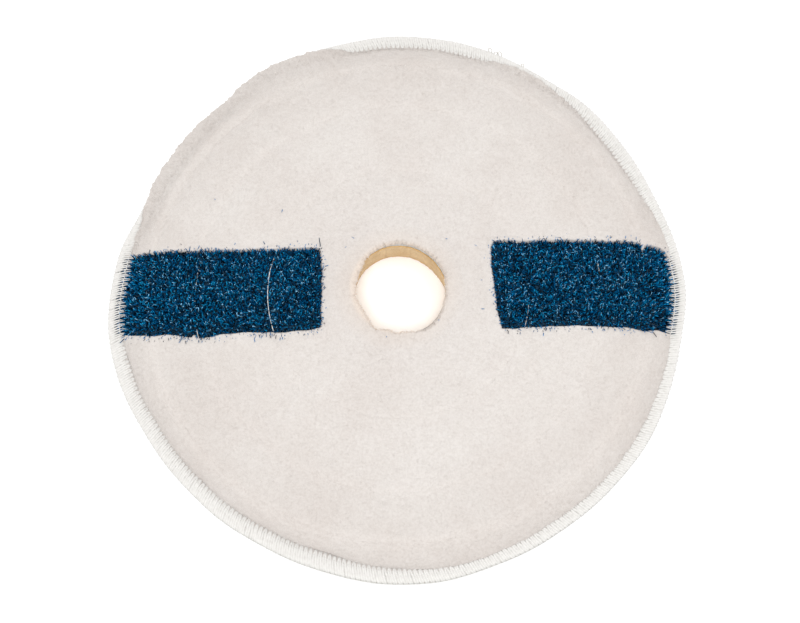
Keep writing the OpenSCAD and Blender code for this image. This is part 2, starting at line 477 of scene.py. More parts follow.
def thread_material(name, light, dark, spec=0.4, rough0=0.5):
    m, nt, p = new_material(name)
    co = object_co(nt)
    a = noise_node(nt, co, 350, 2, 0.5)
    b = noise_node(nt, co, 3200, 2, 0.6)
    f = maths(nt, "ADD", maths(nt, "MULTIPLY", a, 0.55), maths(nt, "MULTIPLY", b, 0.45))
    colour = ramp(nt, f, [(0.36, dark), (0.56, light)])
    nt.links.new(colour, p.inputs["Base Color"])
    rough = maths(nt, "MULTIPLY_ADD", b, 0.2)
    nt.nodes[-1].inputs[2].default_value = rough0
    nt.links.new(rough, p.inputs["Roughness"])
    p.inputs["Specular IOR Level"].default_value = spec
    p.inputs["Sheen Weight"].default_value = 0.15
    bump(nt, p, b, 0.00012, 0.8)
    return m


def foam_material():
    m, nt, p = new_material("tan_foam_cells")
    co = object_co(nt)
    v = nt.nodes.new("ShaderNodeTexVoronoi")
    v.feature = "F1"
    v.inputs["Scale"].default_value = 1150
    nt.links.new(co, v.inputs["Vector"])
    cells = v.outputs["Distance"]
    broad = noise_node(nt, co, 60, 3, 0.6)
    fine = noise_node(nt, co, 1600, 3, 0.6)
    colour = ramp(nt, broad, [(0.3, (0.635, 0.458, 0.265)), (0.7, (0.77, 0.60, 0.385))])
    # painted shade: darker in the pits of the foam's cells
    pit_shade = ramp(nt, cells, [(0.15, (0.72, 0.66, 0.60)), (0.55, (1.0, 1.0, 1.0))])
    colour = mix(nt, 0.75, colour, pit_shade, "MULTIPLY")
    sep = nt.nodes.new("ShaderNodeSeparateXYZ")
    nt.links.new(co, sep.inputs[0])
    edge = ramp(nt, maths(nt, "MULTIPLY", sep.outputs[2], 40.0), [
        (0.03, (0.93, 0.72, 0.42)), (0.075, (1, 1, 1)), (0.82, (1, 1, 1)), (0.88, (0.90, 0.78, 0.58))])
    colour = mix(nt, 1.0, colour, edge, "MULTIPLY")
    nt.links.new(colour, p.inputs["Base Color"])
    rough = maths(nt, "MULTIPLY_ADD", fine, 0.15)
    nt.nodes[-1].inputs[2].default_value = 0.8
    nt.links.new(rough, p.inputs["Roughness"])
    p.inputs["Specular IOR Level"].default_value = 0.2
    h = maths(nt, "ADD", cells, maths(nt, "MULTIPLY", fine, 0.4))
    bump(nt, p, h, 0.0005, 0.9)
    return m


def bristle_material():
    m, nt, p = new_material("blue_bristle_nylon")
    co = object_co(nt)
    at = nt.nodes.new("ShaderNodeAttribute")
    at.attribute_name = "tone"
    fine = noise_node(nt, co, 1500, 2, 0.5)
    var = ramp(nt, fine, [(0.35, (0.72, 0.78, 0.84)), (0.62, (1.12, 1.08, 1.04))])
    colour = mix(nt, 1.0, at.outputs["Color"], var, "MULTIPLY")
    nt.links.new(colour, p.inputs["Base Color"])
    rough = maths(nt, "MULTIPLY_ADD", fine, 0.25)
    nt.nodes[-1].inputs[2].default_value = 0.25
    nt.links.new(rough, p.inputs["Roughness"])
    p.inputs["Specular IOR Level"].default_value = 0.0
    return m


M_PILE = pile_material("white_plush_pile", False)
M_FIBRE = pile_material("white_plush_fibre", True)
M_KNIT = cloth_material("white_knit_cloth", (0.80, 0.78, 0.74), (0.55, 0.53, 0.50), 1.1)
M_LOOPS = cloth_material("back_loop_nap", (0.78, 0.76, 0.73), (0.52, 0.505, 0.48), 1.9, 0.5)
M_THREAD = thread_material("white_overlock_thread", (0.635, 0.622, 0.600), (0.575, 0.560, 0.537))
# painted shade: the lower looper is a darker copy of the rim's white thread
M_PURL_SHADED = thread_material("white_lower_looper_thread", (0.545, 0.538, 0.508), (0.455, 0.448, 0.420))
# painted shade: the loose loops are a darker copy of the rim's white thread
M_LOOSE_SHADED = thread_material("loose_thread_end", (0.50, 0.47, 0.42), (0.36, 0.33, 0.29))
M_QUILT = thread_material("white_quilting_thread", (0.86, 0.84, 0.80), (0.70, 0.67, 0.63))
M_STRIPCLOTH = cloth_material("blue_strip_cloth", (0.002, 0.060, 0.125), (0.001, 0.022, 0.050), 1.3)
M_BLUETHREAD = thread_material("blue_sewing_thread", (0.012, 0.05, 0.09), (0.004, 0.015, 0.03))
M_FOAM = foam_material()
M_BRISTLE = bristle_material()

# ---------------------------------------------------------------- strips' outlines


def to_strip(name, x, y):
    s = STRIPS[name]
    a = math.radians(s["tilt"])
    X, Y = x, y - s["y"]
    u = X * math.cos(a) + Y * math.sin(a)
    v = -X * math.sin(a) + Y * math.cos(a)
    return s["side"] * u, v


def from_strip(name, u, v):
    s = STRIPS[name]
    a = math.radians(s["tilt"])
    X = s["side"] * u
    return X * math.cos(a) - v * math.sin(a), s["y"] + X * math.sin(a) + v * math.cos(a)


# the strips' cut edges in their own axes: (along, across) for the two long edges, (across, along) for the inner end
OUTLINE = {
    "left": dict(
        lo=([56, 60, 67, 82, 92, 103, 115, 125, 133, 142, 148, 150, 151, 152.2, 153.2, 160, 170, 182, 190, 203, 216],
            [-31.0, -32.0, -33.0, -33.9, -34.0, -33.1, -33.0, -33.4, -34.0, -35.2, -35.4, -35.2, -33.0, -33.2, -34.9, -33.2, -32.0, -32.4, -31.2, -27.8, -27.4]),
        hi=([56, 62, 73, 95, 118, 133, 145, 160, 171, 182, 190, 199, 216],
            [29.2, 29.9, 30.3, 30.6, 30.7, 31.5, 31.5, 31.9, 32.0, 31.4, 31.8, 32.6, 32.0]),
        end=([-34, -31, -20, -11, 0, 12, 22, 27, 31], [60.0, 58.6, 58.9, 58.2, 57.7, 57.4, 57.6, 58.0, 59.0]),
    ),
    "right": dict(
        lo=([68, 77, 87, 95, 105, 127, 149, 165, 175, 181, 187, 193, 203, 216],
            [-35.2, -35.4, -34.8, -33.8, -33.2, -32.2, -32.2, -32.7, -33.6, -35.0, -34.9, -33.6, -34.8, -36.0]),
        hi=([68, 76, 91, 121, 151, 166, 179, 182.0, 183.0, 184.4, 185.2, 190, 197, 201, 204, 216],
            [32.6, 33.2, 32.8, 34.2, 34.0, 33.7, 33.6, 32.6, 27.6, 27.6, 30.6, 31.4, 31.2, 28.6, 24.4, 12.0]),
        end=([-36, -22, -12, -2, 5, 14, 22, 28, 33], [77.6, 74.3, 73.2, 72.2, 71.2, 70.2, 69.7, 69.7, 71.6]),
    ),
}


def strip_edges(name, u):
    """Lower and upper edge of the strip's cloth at distance u along it: it was cut and sewn by hand."""
    o = OUTLINE[name]
    return np.interp(u, *o["lo"]) + 0.25 * np.sin(u / 2.9), np.interp(u, *o["hi"]) + 0.25 * np.sin(u / 3.3 + 1)


def strip_start(name, v):
    return np.interp(v, *OUTLINE[name]["end"]) + 0.2 * np.sin(v / 2.7)


def strip_depth(name, x, y):
    """How far inside the strip's cloth a point lies, less than 0 outside."""
    u, v = to_strip(name, x, y)
    lo, hi = strip_edges(name, u)
    return np.minimum(np.minimum(v - lo, hi - v), u - strip_start(name, v))


def outside_strips(x, y):
    """Distance out from the nearest strip's cloth, less than 0 inside."""
    return -np.maximum(strip_depth("left", x, y), strip_depth("right", x, y))


def ring_distance(k, x, y):
    return np.abs(np.hypot(x, y - RING_Y) - RINGS[k])


# ---------------------------------------------------------------- white pile


def valleys(x, y):
    out = 0.0
    for k, depth in enumerate((0.75, 0.95, 1.1)):
        d = ring_distance(k, x, y)
        e = depth * (0.9 + 0.35 * sample(N_RING, x + 40 * k, y))
        out = out + e * (0.78 * np.exp(-((d / 6.0) ** 2)) + 0.22 * np.exp(-((d / 1.3) ** 2)))
    return out


def nap(x, y):
    """The pile's uneven top."""
    return (
        0.27 * sample(N_BROAD, x, y)
        + 0.09 * sample(N_MID, x, y)
        + 0.030 * sample(N_WOOL, x, y)
        + 0.028 * sample(N_FINE, x, y)
    )


# how far the pile's edge lies outside the seam
PILE_EDGE = around(
    [0, 8, 15, 22, 30, 42, 47, 52, 56, 61, 65, 69, 74, 82, 92, 99, 102, 106, 112, 122, 128, 136, 150, 158, 163, 168, 175, 190,
     240, 248, 255, 262, 272, 280, 285, 300, 315, 330, 345],
    [0, 2.2, 2.8, 1.0, -1.4, -1.6, 0.6, 2.6, 4.2, 5.2, 3.4, 1.6, -0.2, -0.4, -1.0, -2.4, 3.0, 7.6, 9.4, 8.8, 9.2, 11.0, 11.6, 10.2, 6.6,
     2.6, -0.6, -0.9, -0.9, -1.6, -2.2, -1.4, -0.6, 0.8, 1.4, 1.4, 1.2, 0.6, 1.6], 1.3)
# how far in from the seam the threads reach over the pile, more than usual where negative
REACH = around(
    [0, 14, 21, 30, 37, 45, 56, 63, 70, 77, 84, 91, 98, 105, 160, 165, 175, 190, 196, 203, 210, 217, 224, 231, 238, 248, 255, 259,
     266, 273, 280, 287, 294, 330, 350],
    [0.0, -0.3, -0.4, -2.0, -2.1, -1.0, 0.8, 1.0, -1.1, -1.3, -1.0, -1.0, 0.0, 0.0, 0.0, -1.2, -0.5, 0.0, -1.5, -0.8, -2.0, -1.8,
     -1.7, -2.5, -2.0, -2.6, -2.8, -1.7, -1.3, 0.4, 0.6, 1.0, 0.0, 0.1, 0.0], 2.5)
# the mouth of the hole at the top of the pile
MOUTH = around(
    [0, 20, 45, 75, 90, 110, 130, 145, 152, 160, 170, 178, 194, 201, 208, 216, 224, 230, 236, 242, 248, 255, 261, 267, 272, 277,
     284, 290, 296, 302, 309, 317, 325, 333, 341, 350],
    [35.5, 36.3, 36.1, 36.0, 36.4, 35.8, 34.6, 32.8, 31.9, 31.7, 31.8, 32.0, 33.0, 32.3, 31.5, 31.7, 32.4, 33.8, 35.8, 36.9, 35.1,
     33.7, 34.8, 36.1, 35.0, 34.6, 35.6, 36.6, 37.3, 38.5, 39.2, 38.6, 37.6, 36.9, 36.3, 35.8], 1.0)


def pile_piece(name, rows, n):
    """One closed ring of pile. rows: radius, height, offset of its circle, share of the nap, share of the lip."""
    rows = np.array(rows, float)
    th = np.arange(n) * 2 * np.pi / n
    deg = np.degrees(th)
    m = len(rows)
    ragged_edge = sample(N_MID, 215 * np.cos(th), 215 * np.sin(th)) * (0.15 + 0.2 * window(deg, 30, 175, 8))
    ragged_edge = ragged_edge + 0.3 * window(deg, 30, 175, 8) * sample(N_WOOL, 215 * np.cos(th), 215 * np.sin(th))
    lip = at(PILE_EDGE, deg) + at(REACH, deg) + ragged_edge
    r = rows[:, None, 0] + rows[:, None, 4] * lip[None, :]
    if rows[0, 0] < HOLE + 3:
        mouth = at(MOUTH, deg) - 34.9 + 0.35 * sample(N_WOOL, 35 * np.cos(th), 35 * np.sin(th))
        r = r + mouth[None, :] * rows[:, None, 5]
    x = r * np.cos(th)[None, :]
    y = r * np.sin(th)[None, :] + rows[:, None, 2]
    z = rows[:, None, 1] + 0 * x
    if rows[-1, 0] > TOP_FLAT or rows[:, 4].max() > 0:  # held up by the threads where it hangs over them
        z = z + 1.1 * rows[:, None, 4] ** 2 * np.clip(lip / 3, 0, 1)[None, :]
        g = rows[:, 4] ** 0.6
        full = np.where(rows[:, 3] > 0.62, 4 * g * (1 - g), 0)
        z = z + 1.6 * full[:, None] * np.clip(lip / 10, 0, 1)[None, :]
    P = np.stack([x, y, z], -1)
    N = grid_normals(P)
    share = rows[:, None, 3]
    level = rows[:, 6] > 1.5
    N[level] = (0.0, 0.0, 1.0)
    P = P + N * (share * (nap(x, y) - valleys(x, y)))[..., None]
    # pressed flat under the strips' cloth
    out = outside_strips(P[..., 0], P[..., 1])
    rr = np.hypot(P[..., 0], P[..., 1])
    floor = height(S_FACE, TOP_FLAT, rr)
    top = share[..., 0] if share.ndim == 3 else share
    shoulder = np.sqrt(np.clip(1 - (1 - np.clip(out / 1.5, 0, 1)) ** 2, 0, 1))
    above = np.maximum(P[..., 2] - floor, 0)
    pressed = floor + 0.12 + (above - 0.12) * shoulder
    low = rows[:, None, 6] == 1  # rows of the underside stay where they are
    P[..., 2] = np.where(low, P[..., 2], np.where(out < 1.5, np.minimum(P[..., 2], pressed), P[..., 2]))
    real = bend(P)
    ob = mesh_object(name, real.reshape(-1, 3), grid_faces(m, n), M_PILE)
    return ob, real, grid_normals(real), out, rows


def ring_rows(k0, k1, gap):
    """Rows of a flat ring of pile between two quilting rings."""
    r0, r1 = RINGS[k0], RINGS[k1]
    n = int((r1 - r0) / gap)
    rows = dip_rows(r0, -1)[::-1]
    for i in range(n + 1):
        r = r0 + (r1 - r0) * i / n
        rows.append([r, top_z(r), RING_Y, 1, 0, 0, 2])
    return rows + dip_rows(r1, 1)


def dip_rows(r, way):
    """Past a quilting line the pile dips under its neighbour, down to the cloth."""
    z = top_z(r)
    low = float(height(S_FACE, TOP_FLAT, r))
    return [
        [r + way * 0.5, z - 0.04, RING_Y, 1, 0, 0, 2],
        [r + way * 1.3, z - 0.8, RING_Y, 1, 0, 0, 2],
        [r + way * 1.3, low + 0.02, RING_Y, 0, 0, 0, 1],
    ]


def top_z(r):
    return Z_PILE - 0.1 if r <= PILE_FLAT else float(roll_z(r))


LIP_R, LIP_Z = SEAM - 1.2, Z_BAND + 1.05


def roll_z(r):
    t = np.clip((r - PILE_FLAT) / (LIP_R - PILE_FLAT), 0, 1)
    return LIP_Z + (Z_PILE - 0.1 - LIP_Z) * (0.10 * np.sqrt(1 - t * t) + 0.90 * (1 - t ** 2.6))


pile = []
rows = [[HOLE + 1.5, S_FACE[0], 0, 0, 0, 0.4, 1]]
for i in range(5):
    rows.append([HOLE + 1.0, S_FACE[0] + 0.1 + (Z_PILE - 2.9 - S_FACE[0]) * i / 4, 0, 0.2, 0, 0.8 + 0.2 * i / 4, 0])
for i in range(1, 9):
    a = math.pi / 2 * i / 8
    rows.append([HOLE + 1.0 + 3.6 * (1 - math.cos(a)), Z_PILE - 2.8 + 2.7 * math.sin(a), 0, 0.25 + 0.25 * i / 8, 0, 1 - 0.25 * (i / 8) ** 2, 0])
first = rows[-1][0]
n = int((RINGS[0] - first) / 0.62)
for i in range(1, n + 1):
    f = i / n
    rows.append([first + (RINGS[0] - first) * f, Z_PILE - 0.1, RING_Y * f, min(1, 0.5 + 4 * f), 0, 0.75 * max(0, 1 - f * 3.2) ** 1.8, 2])
rows += dip_rows(RINGS[0], 1)
pile.append(pile_piece("pile_center", rows, 760))
pile.append(pile_piece("pile_inner_ring", ring_rows(0, 1, 0.68), 1180))
pile.append(pile_piece("pile_middle_ring", ring_rows(1, 2, 0.64), 1640))

rows = dip_rows(RINGS[2], -1)[::-1]
a0 = math.asin((RINGS[2] - PILE_FLAT) / (LIP_R - PILE_FLAT))
n = 44
for i in range(n + 1):
    a = a0 + (math.pi / 2 - a0) * i / n
    f = i / n
    rows.append([
        PILE_FLAT + (LIP_R - PILE_FLAT) * math.sin(a),
        float(roll_z(PILE_FLAT + (LIP_R - PILE_FLAT) * math.sin(a))),
        RING_Y * (1 - f), 1 - 0.35 * f, f ** 2.2, 0, 0,
    ])
for r, z, sh, lp in (
    (LIP_R - 0.02, LIP_Z - 0.06, 0.6, 1.0),
    (LIP_R - 0.1, LIP_Z - 0.12, 0.4, 0.95),
    (LIP_R - 0.2, LIP_Z - 0.18, 0.2, 0.8),
    (LIP_R - 0.1, Z_BAND + 0.72, 0.0, 0.1),
    (LIP_R + 0.8, Z_BAND + 0.70, 0.0, 0.0),
    (SEAM + 1.6, Z_BAND + 0.60, 0.0, 0.0),
    (SEAM + 3.4, Z_BAND + 0.2, 0.0, 0.0),
    (EDGE - 0.8, Z_BAND - 0.15, 0.0, 0.0),
    (EDGE - 0.1, Z_BAND - 0.6, 0.0, 0.0),
):
    rows.append([r, z, 0, sh, lp, 0, 0])
rows.append([EDGE - 0.1, S_FACE[1] + 0.05, 0, 0, 0, 0, 1])
for i in range(9):
    r = SEAM - (SEAM - TOP_FLAT) * i / 10
    if r > RINGS[2] + 2:
        rows.append([r, float(height(S_FACE, TOP_FLAT, r)) + 0.02, 0, 0, 0, 0, 1])
pile.append(pile_piece("pile_outer_ring", rows, 1500))


def spread(piece, count, seed, first_row, last_row, keep=None):
    """Random places on a pile ring, even by area, with the surface's direction."""
    ob, P, N, out, rows = piece
    rs = np.random.RandomState(seed)
    m, n = P.shape[:2]
    dr = np.linalg.norm(P[1:] - P[:-1], axis=-1).mean(1)
    dt = np.linalg.norm(np.roll(P, -1, 1) - P, axis=-1).mean(1)[:-1]
    w = dr * dt
    w[:first_row] = 0
    w[last_row:] = 0
    i = rs.choice(m - 1, count, p=w / w.sum())
    j = rs.randint(0, n, count)
    a, b = rs.rand(count)[:, None], rs.rand(count)[:, None]
    j1 = (j + 1) % n
    p = (P[i, j] * (1 - a) + P[i + 1, j] * a) * (1 - b) + (P[i, j1] * (1 - a) + P[i + 1, j1] * a) * b
    q = N[i, j]
    ok = out[i, j] > 0.5
    if keep is not None:
        ok &= keep(p)
    return p[ok], q[ok], rs


def spikes(name, p, q, rs, length, width, lean, flow=0.35):
    """Short tapering fibres, one closed four-cornered spike each, leaning with the nap."""
    n = len(p)
    fx = sample(N_MID, p[:, 0] + 90, p[:, 1]) * flow
    fy = sample(N_MID, p[:, 0], p[:, 1] + 90) * flow
    d = q + rs.normal(0, lean, (n, 3)) + np.stack([fx, fy, 0 * fx], -1)
    d /= np.linalg.norm(d, axis=1, keepdims=True)
    a = np.cross(d, rs.normal(0, 1, (n, 3)))
    a /= np.maximum(np.linalg.norm(a, axis=1, keepdims=True), 1e-9)
    b = np.cross(d, a)
    L = (length[0] + (length[1] - length[0]) * rs.rand(n) ** 1.5)[:, None]
    w = (width * (0.7 + 0.6 * rs.rand(n)))[:, None]
    base = p - d * 0.25
    V = [base + w * (math.cos(t) * a + math.sin(t) * b) for t in (0, 2.0944, 4.1888)]
    V.append(base + d * (L + 0.25))
    V = np.stack(V, 1).reshape(-1, 3)
    k = np.arange(n) * 4
    F = np.concatenate([
        np.stack([k, k + 1, k + 3], -1), np.stack([k + 1, k + 2, k + 3], -1),
        np.stack([k + 2, k, k + 3], -1), np.stack([k + 2, k + 1, k], -1),
    ])
    return mesh_object(name, V, F, M_FIBRE)


def strands(name, p, d, rs, length, width, droop, material=None, colours=None):
    """Longer loose fibres, bent along their length: three-sided with four rings."""
    n = len(p)
    d = d / np.maximum(np.linalg.norm(d, axis=1, keepdims=True), 1e-9)
    side = np.cross(d, rs.normal(0, 1, (n, 3)))
    side /= np.maximum(np.linalg.norm(side, axis=1, keepdims=True), 1e-9)
    L = (length[0] + (length[1] - length[0]) * rs.rand(n))[:, None]
    curl = rs.normal(0, 0.28, (n, 1))
    pts = []
    for s in (0.0, 0.35, 0.7, 1.0):
        g = np.zeros((n, 3))
        g[:, 2] = -droop * s * s
        pts.append(p - d * 0.3 + L * (d * s + side * curl * s * s + g))
    w = (width * (0.7 + 0.6 * rs.rand(n)))[:, None]
    b = np.cross(d, side)
    V = []
    for c, k in zip(pts[:3], (1.0, 0.85, 0.6)):
        for t in (0, 2.0944, 4.1888):
            V.append(c + k * w * (math.cos(t) * side + math.sin(t) * b))
    V.append(pts[3])
    V = np.stack(V, 1).reshape(-1, 3)
    k = np.arange(n) * 10
    Q, T = [], []
    for ring in (0, 3):
        for t in range(3):
            t1 = (t + 1) % 3
            Q.append(np.stack([k + ring + t, k + ring + t1, k + ring + 3 + t1, k + ring + 3 + t], -1))
    for t in range(3):
        T.append(np.stack([k + 6 + t, k + 6 + (t + 1) % 3, k + 9], -1))
    T.append(np.stack([k + 2, k + 1, k], -1))
    c = None if colours is None else np.repeat(colours, 10, axis=0)
    return mesh_object(name, V, [np.concatenate(Q), np.concatenate(T)], material or M_FIBRE, colours=c)


fibres = []
counts = (34000, 47000, 47000)
for piece, count, seed in zip(pile[:3], counts, (21, 22, 23)):
    last = len(piece[4]) - 3
    p, q, rs = spread(piece, count, seed, 8 if piece is pile[0] else 3, last)
    fibres.append(spikes(piece[0].name + "_fibres", p, q, rs, (0.4, 1.1), 0.16, 0.42))
p, q, rs = spread(pile[3], 47000, 24, 3, 49)
fibres.append(spikes("pile_outer_ring_fibres", p, q, rs, (0.4, 1.1), 0.16, 0.42))

# loose fibres round the hole's mouth and over the rolled edge
p, q, rs = spread(pile[0], 2600, 31, 3, 11)
inward = -np.stack([p[:, 0], p[:, 1], 0 * p[:, 0]], -1)
inward /= np.linalg.norm(inward, axis=1, keepdims=True)
reach = 0.35 + 0.5 * lump(np.degrees(np.arctan2(p[:, 1], p[:, 0])) % 360, 230, 75)[:, None]
fibres.append(strands("hole_edge_fibres", p, q * 0.6 + inward * reach + rs.normal(0, 0.25, q.shape), rs, (0.5, 1.7), 0.11, 0.2))
p, q, rs = spread(pile[3], 15000, 32, 26, 50)
turn = np.degrees(np.arctan2(p[:, 1], p[:, 0])) % 360
ok = rs.rand(len(p)) < 0.12 + 0.88 * window(turn, 25, 175, 10)
p, q = p[ok], q[ok]
outward = np.stack([p[:, 0], p[:, 1], 0 * p[:, 0]], -1)
outward /= np.linalg.norm(outward, axis=1, keepdims=True)
fibres.append(strands("rim_edge_fibres", p, q * 0.8 + outward * 0.3 + rs.normal(0, 0.3, q.shape), rs, (0.6, 2.0), 0.12, 0.15))

# ---------------------------------------------------------------- cloths, foam and the looped back


def run(s, flat, r_in, r_out, up=True, count=14, extra=0.0):
    """Points along one surface of a layer, outwards or back inwards."""
    r = np.concatenate([np.linspace(r_in, flat, 8)[:-1], np.linspace(flat, SEAM, count), [r_out]])
    z = height(s, flat, r) + extra
    pts = np.stack([r, z], -1)
    return pts if up else pts[::-1]


def wall(r, z0, z1, count):
    z = np.linspace(z0, z1, count)
    return np.stack([np.full(count, r), z], -1)


def ragged(P, th):
    """The die left the hole's edge a little uneven."""
    r = np.hypot(P[..., 0], P[..., 1])
    k = np.exp(-((r - HOLE) / 4.0) ** 2)
    deg = np.degrees(th) % 360
    low = 1 - 0.45 * np.clip(P[..., 2] / S_GROUND[0], 0, 1)
    d = k * (0.25 + 2.1 * lump(deg, 11, 18) * low + 0.10 * np.sin(11 * th) + 0.07 * np.sin(29 * th + 1))
    d = d + k * (4.6 * lump(deg, 309, 25) + 2.2 * lump(deg, 340, 18) + 1.9 * lump(deg, 250, 24) + 1.0 * lump(deg, 275, 12))
    f = (r + d) / np.maximum(r, 1e-6)
    return np.stack([P[..., 0] * f, P[..., 1] * f, P[..., 2]], -1)


face_ground = revolve(
    "face_ground_cloth",
    np.concatenate([run(S_FACE, TOP_FLAT, HOLE + 1.0, EDGE - 0.2), run(S_GROUND, TOP_FLAT, HOLE + 1.0, EDGE - 0.2, False)]),
    480, M_KNIT, ragged,
)
back_ground = revolve(
    "back_ground_cloth",
    np.concatenate([run(S_FOAM, BACK_FLAT, HOLE + 1.3, EDGE - 0.2), run(S_BACK, BACK_FLAT, HOLE + 1.3, EDGE - 0.2, False)]),
    480, M_KNIT, ragged,
)


def foam_shift(P, th):
    P = ragged(P, th)
    r = np.hypot(P[..., 0], P[..., 1])
    on_wall = np.exp(-((r - HOLE - 0.3) / 1.6) ** 2)
    rs = np.random.RandomState(41)
    grain = rs.normal(0, 1, P.shape[:2])
    grain = (grain + np.roll(grain, 1, 1) + np.roll(grain, 1, 0)) / 1.7
    d = on_wall * 0.10 * grain
    f = (r + d) / np.maximum(r, 1e-6)
    return np.stack([P[..., 0] * f, P[..., 1] * f, P[..., 2]], -1)


foam = revolve(
    "foam_core_disc",
    np.concatenate([
        wall(HOLE, 0.35, S_GROUND[0] + 0.55, 50),
        [[HOLE + 0.3, S_GROUND[0] + 0.7], [HOLE + 0.75, S_GROUND[0] + 0.6], [HOLE + 0.85, S_GROUND[0]]],
        run(S_GROUND, TOP_FLAT, HOLE + 1.2, EDGE - 0.3),
        run(S_FOAM, BACK_FLAT, HOLE + 1.3, EDGE - 0.3, False),
        [[HOLE + 1.1, S_FOAM[0] - 0.1], [HOLE + 1.05, 0.5], [HOLE + 0.7, 0.2], [HOLE + 0.25, 0.15]],
    ]),
    620, M_FOAM, foam_shift,
)


def loops_shift(P, th):
    P = ragged(P, th)
    x, y = P[..., 0], P[..., 1]
    low = P[..., 2] < height(S_BACK, BACK_FLAT, np.hypot(x, y)) - 0.3
    tuft = 0.16 + 0.10 * sample(N_FINE, x, y) + 0.05 * sample(N_WOOL, x + 77, y)
    groove = 0.0
    for k in range(3):
        d = ring_distance(k, x, y)
        groove = groove + 0.62 * np.exp(-((d / 1.3) ** 2))
    P[..., 2] = P[..., 2] + np.where(low, np.clip(tuft, 0, 0.6) + groove * 0.8, 0)
    return P


r_low = np.concatenate([np.linspace(HOLE + 1.5, BACK_FLAT, 108), np.linspace(BACK_FLAT, SEAM, 14)[1:], [EDGE - 0.2]])
low = np.stack([r_low, height(S_LOOP, BACK_FLAT, r_low)], -1)[::-1]
back_loops = revolve(
    "back_loop_nap",
    np.concatenate([run(S_BACK, BACK_FLAT, HOLE + 1.5, EDGE - 0.2), low]),
    620, M_LOOPS, loops_shift,
)

# ---------------------------------------------------------------- scrub strips


def strip_cloth(name):
    s = STRIPS[name]
    nu, nv = 90, 44
    t = np.linspace(0, 1, nu)[:, None]
    k = np.linspace(0, 1, nv)[None, :]
    v = (-0.5 + k) * s["w"] + 0 * t
    u0 = strip_start(name, v)
    u1 = np.full_like(v, R)
    for _ in range(30):  # out into the seam
        x, y = from_strip(name, u1, v)
        u1 = u1 - (np.hypot(x, y) - (SEAM + 3.6))
    u = u0 + (u1 - u0) * t
    lo, hi = strip_edges(name, u)
    v = lo + (hi - lo) * k
    x, y = from_strip(name, u, v)
    r = np.hypot(x, y)
    top = np.stack([x, y, height(S_STRIP, TOP_FLAT, r) + 0.3 * step((r - SEAM + 3) / 2)], -1)
    bottom = np.stack([x, y, height(S_FACE, TOP_FLAT, r) + 0.16], -1)
    P = bend(np.concatenate([top[None], bottom[None]]))
    V = P.reshape(-1, 3)
    g = grid_faces(nu, nv, False, False)
    size = nu * nv
    # the rim of the cloth, walked once round
    idx = np.arange(size).reshape(nu, nv)
    loop = np.concatenate([idx[0, :-1], idx[:-1, -1], idx[-1, :0:-1], idx[:0:-1, 0]])
    nxt = np.roll(loop, -1)
    side = np.stack([loop, nxt, nxt + size, loop + size], -1)
    if s["side"] < 0:
        F = [g[:, ::-1], g + size, side[:, ::-1]]
    else:
        F = [g, g[:, ::-1] + size, side]
    return mesh_object(name + "_strip_cloth", V, F, M_STRIPCLOTH)


# tones of the blue nylon, darkest first; the two palest are painted highlights standing in for glints
BLUES_WITH_PAINTED_GLINTS = np.array([
    (0.0002, 0.014, 0.036),
    (0.0005, 0.082, 0.215),
    (0.0012, 0.168, 0.425),
    (0.0150, 0.370, 0.720),
    (0.2800, 0.660, 0.980),
])
SHARES = (0.24, 0.28, 0.25, 0.15, 0.08)


